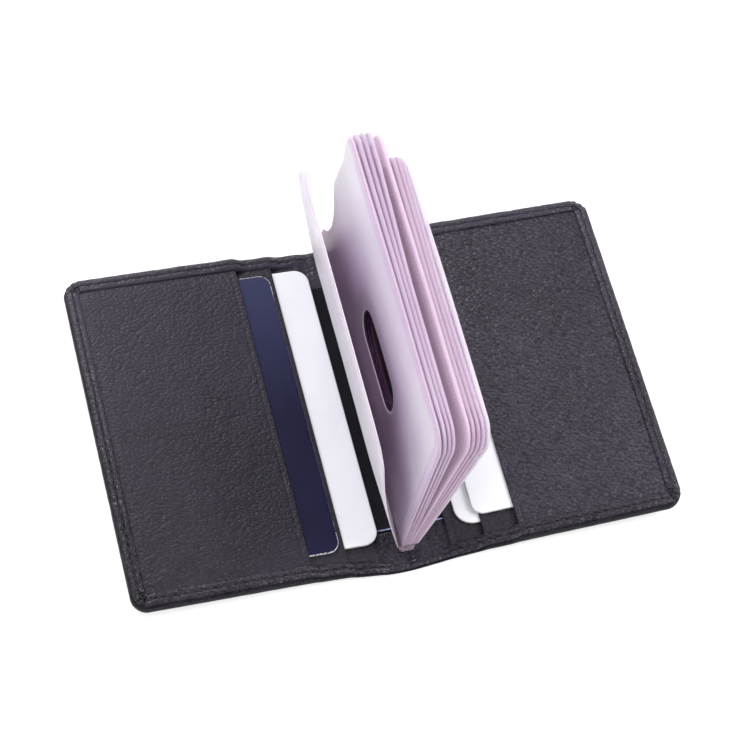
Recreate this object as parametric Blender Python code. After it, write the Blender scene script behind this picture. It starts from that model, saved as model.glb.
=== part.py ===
"""An open bifold leather card holder with four cards and a clear page insert, in metres, +Z up.

The spine lies along Y at X = 0. Each cover folds about a line at its crease, where its parent
empty stands. Inside a cover, distances run outwards from the crease, along Y, and upwards from
the outer leather's underside.
"""

import math

import bmesh
import bpy
from mathutils import Matrix, Vector

for old in list(bpy.data.objects):
    bpy.data.objects.remove(old, do_unlink=True)

MM = 0.001

# Cards of the standard bank card size, which everything else is made to hold
CARD_LENGTH = 85.6 * MM
CARD_WIDTH = 54.0 * MM
CARD_THICKNESS = 0.76 * MM
CARD_RADIUS = 3.18 * MM

# Driving sizes of the leather body
BORDER_WIDTH = 2.5 * MM
POCKET_END_MARGIN = 4.2 * MM
POCKET_DEPTH_MARGIN = 12.5 * MM
HEIGHT = CARD_LENGTH + 2 * (POCKET_END_MARGIN + BORDER_WIDTH)
COVER_WIDTH = CARD_WIDTH + POCKET_DEPTH_MARGIN + BORDER_WIDTH
SPINE_WIDTH = 14.0 * MM
COVER_TILT = math.radians(3.0)
CORNER_RADIUS = 4.0 * MM
LEATHER = 0.8 * MM
LINING = 0.2 * MM
STRIP_LEATHER = 0.4 * MM
PANEL_LEATHER = 0.5 * MM
LAYER_GAP = 0.2 * MM
SIDE_GAP = 0.3 * MM
CUT_OVERRUN = 2.0 * MM
CORNER_STEPS = 6

# Turned border round the outer leather
BORDER_INNER_RADIUS = 1.2 * MM
BORDER_TOP_EASE = 0.8 * MM
BORDER_STEP_UP = 0.16 * MM
UNDERSIDE_BEVEL = 2.0 * MM
SPINE_UNDERSIDE_BEVEL = 0.5 * MM
SPINE_BORDER_HEIGHT = 2.0 * MM
CREASE_GAP = 0.15 * MM
CREASE_LINING_GAP = 0.3 * MM
CREASE_BORDER_GAP = 1.0 * MM

# Pocket strips: how far each free edge lies from its crease
STRIP_PITCH = 9.4 * MM
LEFT_STRIP_SETBACK = 1.8 * MM
LEFT_OUTER_STRIP_SETBACK = 10.4 * MM
RIGHT_STRIP_SETBACK = 4.2 * MM
RIGHT_OUTER_STRIP_SETBACK = 13.6 * MM

# How far each card's near edge lies from its crease, and how far it sits off centre along the spine
LEFT_LOWER_CARD_SETBACK = 0.5 * MM
LEFT_UPPER_CARD_SETBACK = 11.75 * MM
RIGHT_LOWER_CARD_SETBACK = 7.5 * MM
RIGHT_UPPER_CARD_SETBACK = 12.2 * MM
LEFT_LOWER_CARD_SHIFT = 1.0 * MM
LEFT_UPPER_CARD_SHIFT = 0.0 * MM
RIGHT_LOWER_CARD_SHIFT = 1.2 * MM
RIGHT_UPPER_CARD_SHIFT = 2.7 * MM

# Clear insert: a base with flaps, a welded root and its pages
FILM = 0.12 * MM
BASE_LENGTH = 76.0 * MM
BASE_SIDE_GAP = 0.5 * MM
FLAP_WIDTH = 20.0 * MM
FLAP_RADIUS = 5.0 * MM
ROOT_HEIGHT = 0.9 * MM
ROOT_MARGIN = 0.2 * MM
PAGE_END_MARGIN = 3.2 * MM
PAGE_DEPTH_MARGIN = 7.0 * MM
PAGE_LENGTH = CARD_LENGTH + 2 * PAGE_END_MARGIN
PAGE_HEIGHT = CARD_WIDTH + PAGE_DEPTH_MARGIN
PAGE_SHIFT = 1.5 * MM
PAGE_THICKNESS = 0.3 * MM
PAGE_RADIUS = 6.5 * MM
PAGE_ROOT_RADIUS = 2.0 * MM
THUMB_SLOT_LENGTH = 29.5 * MM
THUMB_SLOT_WIDTH = 11.5 * MM
THUMB_SLOT_HEIGHT = 26.0 * MM
THUMB_SLOT_SHIFT = -1.0 * MM
THUMB_SLOT_STEPS = 8
LEFT_PAGE_LEAN = math.radians(-10.2)
FIRST_GROUP_LEAN = math.radians(3.5)
FIRST_GROUP_STEP = math.radians(0.6)
FIRST_GROUP_PAGES = 4
SECOND_GROUP_LEAN = math.radians(8.9)
SECOND_GROUP_STEP = math.radians(0.78)
SECOND_GROUP_PAGES = 5

# Heights of the layers over the outer leather's underside
LINING_LOW = LEATHER + LAYER_GAP
FLAP_LOW = LINING_LOW + LINING + LAYER_GAP
INNER_STRIP_LOW = FLAP_LOW + FILM + LAYER_GAP
LOWER_CARD_LOW = INNER_STRIP_LOW + STRIP_LEATHER + LAYER_GAP
OUTER_STRIP_LOW = LOWER_CARD_LOW + CARD_THICKNESS + LAYER_GAP
UPPER_CARD_LOW = OUTER_STRIP_LOW + STRIP_LEATHER + LAYER_GAP
PANEL_LOW = UPPER_CARD_LOW + CARD_THICKNESS + LAYER_GAP
PANEL_TOP = PANEL_LOW + PANEL_LEATHER
BORDER_HEIGHT = PANEL_TOP + BORDER_STEP_UP

# The covers fold about the level of the lining's top
FOLD_HEIGHT = LINING_LOW + LINING + LAYER_GAP / 2
POCKET_OUTER = COVER_WIDTH - BORDER_WIDTH - SIDE_GAP
POCKET_HALF_LENGTH = HEIGHT / 2 - BORDER_WIDTH - SIDE_GAP


# Each look is a colour and a roughness
OUTER_LEATHER = ((0.045, 0.040, 0.048), 0.55)
POCKET_LEATHER = ((0.055, 0.048, 0.056), 0.5)
LINING_CLOTH = ((0.012, 0.010, 0.013), 0.8)
CLEAR_FILM = ((0.74, 0.66, 0.76), 0.2)
NAVY_PLASTIC = ((0.020, 0.021, 0.070), 0.3)
WHITE_PLASTIC = ((0.90, 0.90, 0.93), 0.25)


def material(name, look):
    color, roughness = look
    made = bpy.data.materials.new(name)
    made.use_nodes = True
    shader = made.node_tree.nodes["Principled BSDF"]
    shader.inputs["Base Color"].default_value = (*color, 1.0)
    shader.inputs["Roughness"].default_value = roughness
    shader.inputs["Metallic"].default_value = 0.0
    made.diffuse_color = (*color, 1.0)
    return made


def arc(center, radius, start, turn, steps):
    """Points on an arc that starts at this angle and turns by this much."""
    angles = (start + turn * step / steps for step in range(steps + 1))
    return [(center[0] + radius * math.cos(a), center[1] + radius * math.sin(a)) for a in angles]


def rounded_outline(low, high, near_radius, far_radius):
    """A rectangle from low to high, with one radius at its two near corners and one at its far corners."""
    corners = (
        (high[0], high[1], far_radius, 0.0),
        (low[0], high[1], near_radius, math.pi / 2),
        (low[0], low[1], near_radius, math.pi),
        (high[0], low[1], far_radius, 3 * math.pi / 2),
    )
    points = []
    for x, y, radius, start in corners:
        if radius > 0:
            center_x = x - math.copysign(radius, x - low[0] - radius)
            center_y = y - math.copysign(radius, y - low[1] - radius)
            points += arc((center_x, center_y), radius, start, math.pi / 2, CORNER_STEPS)
        else:
            points.append((x, y))
    return points


def add(obj, look, parent):
    bpy.context.scene.collection.objects.link(obj)
    obj.data.materials.append(material(obj.name, look))
    obj.parent = parent
    return obj


def sheet_curve(name, outlines, thickness):
    """A flat sheet round Z = 0: the first outline, with the others cut out of it."""
    curve = bpy.data.curves.new(name, "CURVE")
    curve.dimensions = "2D"
    curve.fill_mode = "BOTH"
    curve.extrude = thickness / 2
    for outline in outlines:
        spline = curve.splines.new("POLY")
        spline.points.add(len(outline) - 1)
        for point, (x, y) in zip(spline.points, outline):
            point.co = (x, y, 0, 1)
        spline.use_cyclic_u = True
    return curve


def mesh_object(name, bm):
    bmesh.ops.recalc_face_normals(bm, faces=bm.faces)
    mesh = bpy.data.meshes.new(name)
    bm.to_mesh(mesh)
    bm.free()
    return bpy.data.objects.new(name, mesh)


def stacked(name, rings):
    """A solid through these rings of 3D points, closed at both ends."""
    bm = bmesh.new()
    loops = [[bm.verts.new(point) for point in ring] for ring in rings]
    for below, above in zip(loops, loops[1:]):
        for i in range(len(below)):
            j = (i + 1) % len(below)
            bm.faces.new((below[i], below[j], above[j], above[i]))
    bm.faces.new(loops[0])
    bm.faces.new(loops[-1])
    return mesh_object(name, bm)


def prism_up(name, outline, low, high):
    return stacked(name, [[(x, y, z) for x, y in outline] for z in (low, high)])


def prism_along(name, profile, low, high):
    """A solid whose profile, in X and Z, runs along Y."""
    return stacked(name, [[(x, y, z) for x, z in profile] for y in (low, high)])


def cutter(obj, parent):
    bpy.context.scene.collection.objects.link(obj)
    obj.parent = parent
    obj.hide_render = True
    obj.display_type = "WIRE"
    return obj


def cut(obj, name, tool, operation="DIFFERENCE"):
    modifier = obj.modifiers.new(name, "BOOLEAN")
    modifier.operation = operation
    modifier.solver = "EXACT"
    modifier.object = tool


class Cover:
    """One cover: its empty stands on the fold line, and local X runs outwards from the crease."""

    def __init__(self, side, name, strip_setback, outer_setback):
        self.side = side
        self.name = name
        self.inner_edge = strip_setback
        self.outer_edge = outer_setback
        self.panel_edge = strip_setback + 2 * STRIP_PITCH
        self.fold = bpy.data.objects.new(f"fold_{name}", None)
        self.fold.location = (side * SPINE_WIDTH / 2, 0, FOLD_HEIGHT)
        self.fold.rotation_euler = (0, -side * COVER_TILT, 0)
        self.fold.empty_display_size = SPINE_WIDTH
        bpy.context.scene.collection.objects.link(self.fold)

    def turned(self, outline):
        """The outline on this cover's side of the spine."""
        return [(self.side * u, v) for u, v in outline]

    def sheet(self, name, outline, low, thickness, look):
        curve = sheet_curve(name, [self.turned(outline)], thickness)
        obj = add(bpy.data.objects.new(name, curve), look, self.fold)
        obj.location = (0, 0, low + thickness / 2 - FOLD_HEIGHT)
        return obj

    def shell(self):
        """The outer leather: a shallow tray, open at the crease, with its edge turned up as a border."""
        levels = (
            (0, UNDERSIDE_BEVEL),
            (UNDERSIDE_BEVEL, 0),
            (BORDER_HEIGHT - BORDER_TOP_EASE, 0),
            (BORDER_HEIGHT, BORDER_TOP_EASE),
        )
        rings = []
        for height, inset in levels:
            high = (COVER_WIDTH - inset, HEIGHT / 2 - inset)
            outline = rounded_outline((CREASE_GAP, -high[1]), high, 0, CORNER_RADIUS - inset)
            rings.append([(u, v, height - FOLD_HEIGHT) for u, v in self.turned(outline)])
        body = add(stacked(f"cover_shell_{self.name}", rings), OUTER_LEATHER, self.fold)
        inner = (COVER_WIDTH - BORDER_WIDTH, HEIGHT / 2 - BORDER_WIDTH)
        tray = rounded_outline((-CUT_OVERRUN, -inner[1]), inner, 0, BORDER_INNER_RADIUS)
        floor = LEATHER - FOLD_HEIGHT
        roof = BORDER_HEIGHT + CUT_OVERRUN - FOLD_HEIGHT
        tray_cutter = prism_up(f"tray_cutter_{self.name}", self.turned(tray), floor, roof)
        cut(body, "tray", cutter(tray_cutter, self.fold))
        low_border = SPINE_BORDER_HEIGHT - FOLD_HEIGHT
        profile = self.turned(
            (
                (-CUT_OVERRUN, floor),
                (CREASE_BORDER_GAP, floor),
                (CREASE_BORDER_GAP, low_border),
                (self.panel_edge, BORDER_HEIGHT - FOLD_HEIGHT),
                (self.panel_edge, roof),
                (-CUT_OVERRUN, roof),
            )
        )
        reach = HEIGHT / 2 + CUT_OVERRUN
        slope_cutter = prism_along(f"slope_cutter_{self.name}", profile, -reach, reach)
        cut(body, "slope", cutter(slope_cutter, self.fold))

    def layer(self, name, near, low, thickness, look):
        """A sheet from this distance outwards to the border."""
        low_corner = (near, -POCKET_HALF_LENGTH)
        high_corner = (POCKET_OUTER, POCKET_HALF_LENGTH)
        outline = rounded_outline(low_corner, high_corner, 0, BORDER_INNER_RADIUS)
        return self.sheet(f"{name}_{self.name}", outline, low, thickness, look)

    def flap(self):
        half = BASE_LENGTH / 2
        outline = rounded_outline((CREASE_LINING_GAP, -half), (FLAP_WIDTH, half), 0, FLAP_RADIUS)
        return self.sheet(f"insert_flap_{self.name}", outline, FLAP_LOW, FILM, CLEAR_FILM)

    def card(self, level, setback, shift, low, look):
        low_corner = (setback, shift - CARD_LENGTH / 2)
        high_corner = (setback + CARD_WIDTH, shift + CARD_LENGTH / 2)
        outline = rounded_outline(low_corner, high_corner, CARD_RADIUS, CARD_RADIUS)
        return self.sheet(f"card_{self.name}_{level}", outline, low, CARD_THICKNESS, look)

    def leather_and_pockets(self):
        self.shell()
        self.layer("cover_lining", CREASE_LINING_GAP, LINING_LOW, LINING, LINING_CLOTH)
        self.layer("strip_inner", self.inner_edge, INNER_STRIP_LOW, STRIP_LEATHER, POCKET_LEATHER)
        self.layer("strip_outer", self.outer_edge, OUTER_STRIP_LOW, STRIP_LEATHER, POCKET_LEATHER)
        self.layer("pocket_panel", self.panel_edge, PANEL_LOW, PANEL_LEATHER, POCKET_LEATHER)
        self.flap()


def spine_shell():
    """The spine's outer leather, with its two ends turned up."""
    end = HEIGHT / 2
    inner = end - BORDER_WIDTH
    top = SPINE_BORDER_HEIGHT
    ease = SPINE_UNDERSIDE_BEVEL
    turned_up = (
        (inner, LEATHER),
        (inner, top),
        (end - ease, top),
        (end, top - ease),
        (end, ease),
        (end - ease, 0),
    )
    profile = [*turned_up, *((-y, z) for y, z in reversed(turned_up))]
    half_width = SPINE_WIDTH / 2 - CREASE_GAP
    rings = [[(x, y, z) for y, z in profile] for x in (-half_width, half_width)]
    add(stacked("spine_shell", rings), OUTER_LEATHER, None)


def spine_lining():
    half_width = SPINE_WIDTH / 2 - CREASE_LINING_GAP
    outline = rounded_outline((-half_width, -POCKET_HALF_LENGTH), (half_width, POCKET_HALF_LENGTH), 0, 0)
    curve = sheet_curve("spine_lining", [outline], LINING)
    add(bpy.data.objects.new("spine_lining", curve), LINING_CLOTH, None).location.z = LINING_LOW + LINING / 2


def page_leans():
    """Each page's lean from upright, from the left page to the last on the right."""
    leans = [LEFT_PAGE_LEAN]
    leans += [FIRST_GROUP_LEAN + FIRST_GROUP_STEP * i for i in range(FIRST_GROUP_PAGES)]
    leans += [SECOND_GROUP_LEAN + SECOND_GROUP_STEP * i for i in range(SECOND_GROUP_PAGES)]
    return leans


LEANS = page_leans()
PAGE_PITCH = PAGE_THICKNESS + LAYER_GAP
ROOT_HALF_WIDTH = (len(LEANS) - 1) * PAGE_PITCH / 2 + PAGE_THICKNESS / 2 + ROOT_MARGIN
ROOT_TOP = FLAP_LOW + ROOT_HEIGHT
PAGE_LOW = ROOT_TOP + LAYER_GAP


def insert_base():
    """The insert's clear base strip, with the welded root of all its pages standing on it."""
    half_width = SPINE_WIDTH / 2 - BASE_SIDE_GAP
    half_length = BASE_LENGTH / 2
    strip = rounded_outline((-half_width, -half_length), (half_width, half_length), 0, 0)
    base = add(prism_up("insert_base", strip, FLAP_LOW, FLAP_LOW + FILM), CLEAR_FILM, None)
    ends = (PAGE_SHIFT - PAGE_LENGTH / 2, POCKET_HALF_LENGTH - SIDE_GAP)
    bar = rounded_outline((-ROOT_HALF_WIDTH, ends[0]), (ROOT_HALF_WIDTH, ends[1]), 0, 0)
    root = cutter(prism_up("root_bar_guide", bar, FLAP_LOW, ROOT_TOP), None)
    cut(base, "root", root, "UNION")


def thumb_slot():
    """A slot with round ends, along the page."""
    radius = THUMB_SLOT_WIDTH / 2
    reach = THUMB_SLOT_LENGTH / 2 - radius
    far = arc((THUMB_SLOT_SHIFT + reach, THUMB_SLOT_HEIGHT), radius, -math.pi / 2, math.pi, THUMB_SLOT_STEPS)
    near = arc((THUMB_SLOT_SHIFT - reach, THUMB_SLOT_HEIGHT), radius, math.pi / 2, math.pi, THUMB_SLOT_STEPS)
    return far + near


def pages():
    """Flat sleeves that stand on the root, each turning about its own lower edge."""
    low = PAGE_SHIFT - PAGE_LENGTH / 2
    high = PAGE_SHIFT + PAGE_LENGTH / 2
    # The outline's first axis is the page's height here, so that its far corners are the free ones
    edge = rounded_outline((0, low), (PAGE_HEIGHT, high), PAGE_ROOT_RADIUS, PAGE_RADIUS)
    edge = [(along, up) for up, along in edge]
    for i, lean in enumerate(LEANS):
        curve = sheet_curve(f"page_{i + 1:02d}", [edge, thumb_slot()], PAGE_THICKNESS)
        page = add(bpy.data.objects.new(curve.name, curve), CLEAR_FILM, None)
        page.location = ((i - (len(LEANS) - 1) / 2) * PAGE_PITCH, 0, PAGE_LOW)
        # The curve's X runs along the spine and its Y up the page
        along = Vector((0, 1, 0))
        up = Vector((math.sin(lean), 0, math.cos(lean)))
        page.rotation_mode = "QUATERNION"
        page.rotation_quaternion = Matrix((along, up, along.cross(up))).transposed().to_quaternion()


spine_shell()
spine_lining()
insert_base()
pages()
LEFT = Cover(-1, "left", LEFT_STRIP_SETBACK, LEFT_OUTER_STRIP_SETBACK)
RIGHT = Cover(1, "right", RIGHT_STRIP_SETBACK, RIGHT_OUTER_STRIP_SETBACK)
LEFT.leather_and_pockets()
RIGHT.leather_and_pockets()
LEFT.card("lower", LEFT_LOWER_CARD_SETBACK, LEFT_LOWER_CARD_SHIFT, LOWER_CARD_LOW, WHITE_PLASTIC)
LEFT.card("upper", LEFT_UPPER_CARD_SETBACK, LEFT_UPPER_CARD_SHIFT, UPPER_CARD_LOW, NAVY_PLASTIC)
RIGHT.card("lower", RIGHT_LOWER_CARD_SETBACK, RIGHT_LOWER_CARD_SHIFT, LOWER_CARD_LOW, WHITE_PLASTIC)
RIGHT.card("upper", RIGHT_UPPER_CARD_SETBACK, RIGHT_UPPER_CARD_SHIFT, UPPER_CARD_LOW, WHITE_PLASTIC)
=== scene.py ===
"""The finished look of an open bifold leather card holder with four cards and a clear page insert.

Lengths are in millimetres until a point is placed. p runs outwards from the spine's middle line,
u outwards from a cover's crease, y along the spine, and w upwards from the outer leather's underside.
Side is -1 for the left half and 1 for the right half.
"""

import math

import bmesh
import bpy
from mathutils import Matrix, Vector, noise


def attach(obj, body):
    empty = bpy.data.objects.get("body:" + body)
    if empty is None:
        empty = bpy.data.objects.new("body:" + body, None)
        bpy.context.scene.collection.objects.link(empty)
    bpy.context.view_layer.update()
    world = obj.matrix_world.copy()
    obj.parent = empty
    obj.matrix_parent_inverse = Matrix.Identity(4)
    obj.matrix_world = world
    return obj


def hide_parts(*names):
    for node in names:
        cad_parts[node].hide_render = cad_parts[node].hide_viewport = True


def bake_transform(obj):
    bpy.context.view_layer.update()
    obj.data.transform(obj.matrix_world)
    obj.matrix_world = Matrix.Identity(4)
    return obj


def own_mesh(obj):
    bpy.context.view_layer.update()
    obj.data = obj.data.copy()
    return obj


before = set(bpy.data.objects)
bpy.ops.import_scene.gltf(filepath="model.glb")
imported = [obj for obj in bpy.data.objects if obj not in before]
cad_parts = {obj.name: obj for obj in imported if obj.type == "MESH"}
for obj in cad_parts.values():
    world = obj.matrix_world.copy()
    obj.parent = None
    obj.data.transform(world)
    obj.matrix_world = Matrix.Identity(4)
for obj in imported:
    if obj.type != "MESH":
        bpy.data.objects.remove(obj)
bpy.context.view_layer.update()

MM = 0.001
SIDES = {"left": -1, "right": 1}

# The leather body, as the frame has it
HALF_HEIGHT = 49.5
CREASE = 7.0
FAR_EDGE = 76.0
COVER_REACH = FAR_EDGE - CREASE
CORNER_RADIUS = 4.6
LEAST_RADIUS = 0.6
HEM = 0.5
HEM_WIDTH = 4.0
FOLD_HEIGHT = 1.3
TILT = math.radians(3.0)
BEND_START = 5.0
BEND_LENGTH = 4.0

# Heights of the layers' tops, and the layers' thicknesses
FLOOR = 0.8
LINING_TOP = 1.2
LINING = 0.2
FILM_TOP = 1.52
FILM = 0.12
INNER_STRIP_TOP = 2.12
OUTER_STRIP_TOP = 3.68
PANEL_TOP = 5.34
LAYER_TOPS = (LINING_TOP, INNER_STRIP_TOP, OUTER_STRIP_TOP, PANEL_TOP)
STRIP_LEATHER = 0.4
PANEL_LEATHER = 0.5
LOWER_CARD_LOW = 2.32
UPPER_CARD_LOW = 3.88

# Free edges of the inner strip, outer strip and panel, from each crease
EDGES = {"left": (1.8, 10.4, 20.6), "right": (4.2, 13.6, 23.0)}
POCKET_HALF_LENGTH = 46.7
POCKET_FAR = 73.2

# Cards of the standard size, and the profile of their softened edge as inset and height
CARD_LENGTH = 85.6
CARD_WIDTH = 54.0
CARD_THICKNESS = 0.76
CARD_RADIUS = 3.18
CARD_RINGS = (
    (0.16, 0.0), (0.0, 0.10), (0.0, 0.62), (0.05, 0.72), (0.16, CARD_THICKNESS), (0.8, CARD_THICKNESS),
)
CARD_FACE_RING = 4
CARD_ARC_STEPS = 14

# Stitching: its pitch and inset, half of a stitch as a share of the pitch, and how deep its ends dip
STITCH_PITCH = 2.7
STITCH_INSET = 2.2
STITCH_SHARE = 0.40
THREAD_RADIUS = 0.2
TOP_THREAD_DEPTH = 0.14
SPINE_THREAD_HEIGHT = 1.90
UNDER_THREAD_HEIGHT = 0.19
THREAD_DIPS = (-0.16, 0.12)

# Base film of the insert
FILM_REACH = 27.0
FILM_RADIUS = 5.0
FILM_HALF_LENGTH = 38.0


def smooth(low, high, value):
    """0 below low, 1 above high, and an even turn between."""
    share = min(1.0, max(0.0, (value - low) / (high - low)))
    return share * share * (3 - 2 * share)


def mix(first, second, share):
    """A value between two values."""
    return first + (second - first) * share


def swell(middle, width, value):
    """A rounded hump of height 1."""
    return math.exp(-(((value - middle) / width) ** 2))


def wander(x, y, size, seed):
    """Even noise between -1 and 1 whose lumps have about this size."""
    return noise.noise(Vector((x / size, y / size, seed)))


def through(stops, value):
    """A smooth curve through (place, height) stops."""
    for (x0, y0), (x1, y1) in zip(stops, stops[1:]):
        if value <= x1:
            return mix(y0, y1, smooth(x0, x1, value))
    return stops[-1][1]


def on_cover(side, u, y, w):
    """A point of a flat cover."""
    out = CREASE + u * math.cos(TILT) - (w - FOLD_HEIGHT) * math.sin(TILT)
    up = FOLD_HEIGHT + u * math.sin(TILT) + (w - FOLD_HEIGHT) * math.cos(TILT)
    return Vector((side * out, y, up)) * MM


def place(side, p, y, w):
    """A point of the leather: flat over the spine, bending up at the crease, then on the cover."""
    bend = (p - BEND_START) / BEND_LENGTH
    if bend >= 1:
        return on_cover(side, p - CREASE, y, w)
    angle = TILT * max(0.0, bend)
    height = w - FOLD_HEIGHT
    rise = angle * max(0.0, bend) * BEND_LENGTH / 2
    out = p - height * math.sin(angle)
    up = FOLD_HEIGHT + rise + height * math.cos(angle)
    return Vector((side * out, y, up)) * MM


def in_scene(name, data):
    """A new object of this name, put into the scene."""
    obj = bpy.data.objects.new(name, data)
    bpy.context.scene.collection.objects.link(obj)
    return obj


class Form:
    """The points and faces of one piece, gathered before its mesh is made."""

    def __init__(self):
        self.points = []
        self.faces = []
        self.marks = []
        self.values = []

    def row(self, points, depths=None, shade=0.0):
        """Adds points, with the depth and shade that their finish reads, and returns their numbers."""
        start = len(self.points)
        self.points += [tuple(point) for point in points]
        self.values += [(depth, shade) for depth in depths or [0.0] * (len(self.points) - start)]
        return list(range(start, len(self.points)))

    def face(self, corners, mark=0):
        self.faces.append(corners)
        self.marks.append(mark)

    def skin(self, rows, around=False, mark=0):
        """Quads between neighbouring rows of equal length."""
        for low, high in zip(rows, rows[1:]):
            count = len(low)
            for i in range(count if around else count - 1):
                j = (i + 1) % count
                self.face((low[i], low[j], high[j], high[i]), mark)

    def tube(self, rows):
        """Closed loops joined along their length, with a face at each end."""
        self.skin(rows, around=True)
        self.face(rows[0])
        self.face(rows[-1])

    def make(self, name, finishes, sharp=40.0):
        """The piece as an object, smooth but for edges sharper than this many degrees."""
        bm = bmesh.new()
        layers = [bm.verts.layers.float.new(value) for value in ("depth", "shade")]
        verts = [bm.verts.new(point) for point in self.points]
        for vert, values in zip(verts, self.values):
            for layer, value in zip(layers, values):
                vert[layer] = value
        for corners, mark in zip(self.faces, self.marks):
            face = bm.faces.new([verts[i] for i in corners])
            face.material_index = mark
            face.smooth = True
        bmesh.ops.recalc_face_normals(bm, faces=bm.faces)
        mesh = bpy.data.meshes.new(name)
        bm.to_mesh(mesh)
        bm.free()
        mesh.set_sharp_from_angle(angle=math.radians(sharp))
        obj = in_scene(name, mesh)
        for finish in finishes:
            obj.data.materials.append(finish)
        return obj


def stand_for(nodes):
    """Hides the nodes that a piece stands for, if there are any."""
    if nodes:
        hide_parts(*nodes)


def settle(obj, body, slot, *nodes):
    """Lets a piece move with its body."""
    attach(obj, body)
    stand_for(nodes)


def settle_over_crease(obj, name, slot, *nodes):
    """Bakes a piece's placement into its mesh, and hides the nodes it stands for."""
    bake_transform(obj)
    stand_for(nodes)


class Wire:
    """A value in a material. Sums and products on it add their Math nodes."""

    def __init__(self, finish, socket):
        self.finish = finish
        self.socket = socket

    def math(self, operation, *others):
        return self.finish.node("Math", {"operation": operation}, dict(enumerate((self, *others))))

    def __add__(self, other):
        return self.math("ADD", other)

    __radd__ = __add__

    def __sub__(self, other):
        return self.math("SUBTRACT", other)

    def __rsub__(self, other):
        return self.finish.node("Math", {"operation": "SUBTRACT"}, {0: other, 1: self})

    def __mul__(self, other):
        return self.math("MULTIPLY", other)

    __rmul__ = __mul__

    def between(self, low, high):
        """0 below low, 1 above high, smooth between."""
        settings = {"interpolation_type": "SMOOTHSTEP"}
        return self.finish.node("MapRange", settings, {"Value": self, "From Min": low, "From Max": high})

    def near(self, middle, reach):
        """1 at the middle, falling to 0 at this reach on both sides."""
        return 1 - (self - middle).math("ABSOLUTE").between(0.0, reach)

    def waves(self, length):
        """A sine wave of this many millimetres."""
        return (self * (2 * math.pi / (length * MM))).math("SINE")


class Finish:
    """A material's node tree, written as expressions."""

    def __init__(self, name):
        self.material = bpy.data.materials.new(name)
        self.material.use_nodes = True
        self.tree = self.material.node_tree
        self.tree.nodes.clear()

    def node(self, kind, settings=None, inputs=None, output=0):
        made = self.tree.nodes.new("ShaderNode" + kind)
        for key, value in (settings or {}).items():
            setattr(made, key, value)
        for key, value in (inputs or {}).items():
            if isinstance(value, Wire):
                self.tree.links.new(value.socket, made.inputs[key])
            else:
                made.inputs[key].default_value = value
        return None if output is None else Wire(self, made.outputs[output])

    def position(self):
        return self.node("TexCoord", output="Object")

    def axis(self, name):
        return self.node("SeparateXYZ", inputs={0: self.position()}, output=name)

    def attribute(self, name):
        return self.node("Attribute", {"attribute_name": name}, output="Fac")

    def grain(self, size, detail=3.0, where=None, distortion=0.0):
        """Noise between 0 and 1 whose lumps are about this many millimetres."""
        inputs = {
            "Vector": where or self.position(),
            "Scale": 1 / (size * MM),
            "Detail": detail,
            "Distortion": distortion,
        }
        return self.node("TexNoise", inputs=inputs)

    def streaks(self, share, fineness, detail=3.0):
        """Fine noise drawn out along Y to this share of its pace."""
        drawn = self.stretched(self.position(), (1, share, 1))
        return self.node("TexNoise", inputs={"Vector": drawn, "Scale": fineness, "Detail": detail})

    def cells(self, size, feature, where):
        """Distance within pebble cells of about this many millimetres."""
        return self.node("TexVoronoi", {"feature": feature}, {"Vector": where, "Scale": 1 / (size * MM)})

    def shifted(self, size, reach):
        """The position, pushed about by noise of this size, up to this reach in millimetres."""
        inputs = {"Vector": self.position(), "Scale": 1 / (size * MM), "Detail": 2.0}
        push = self.node("TexNoise", inputs=inputs, output="Color")
        centred = self.vector("SUBTRACT", push, (0.5, 0.5, 0.5))
        scaled = self.node("VectorMath", {"operation": "SCALE"}, {0: centred, "Scale": 2 * reach * MM})
        return self.vector("ADD", self.position(), scaled)

    def stretched(self, where, shares):
        return self.vector("MULTIPLY", where, shares)

    def vector(self, operation, first, second):
        return self.node("VectorMath", {"operation": operation}, {0: first, 1: second})

    def blend(self, share, first, second):
        """A colour between two colours."""
        first, second = ((*c, 1.0) if isinstance(c, tuple) else c for c in (first, second))
        return self.node("Mix", {"data_type": "RGBA"}, {0: share, 6: first, 7: second}, output=2)

    def bump(self, height, strength, distance):
        inputs = {"Height": height, "Strength": strength, "Distance": distance * MM}
        return self.node("Bump", inputs=inputs)

    def surface(self, color, roughness, normal=None, **fixed):
        """The finished material. Fixed values are the same all over the surface."""
        inputs = {"Base Color": color, "Roughness": roughness}
        if normal is not None:
            inputs["Normal"] = normal
        inputs.update({key.replace("_", " "): value for key, value in fixed.items()})
        shader = self.node("BsdfPrincipled", inputs=inputs, output="BSDF")
        self.node("OutputMaterial", inputs={"Surface": shader}, output=None)
        return self.material


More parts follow.
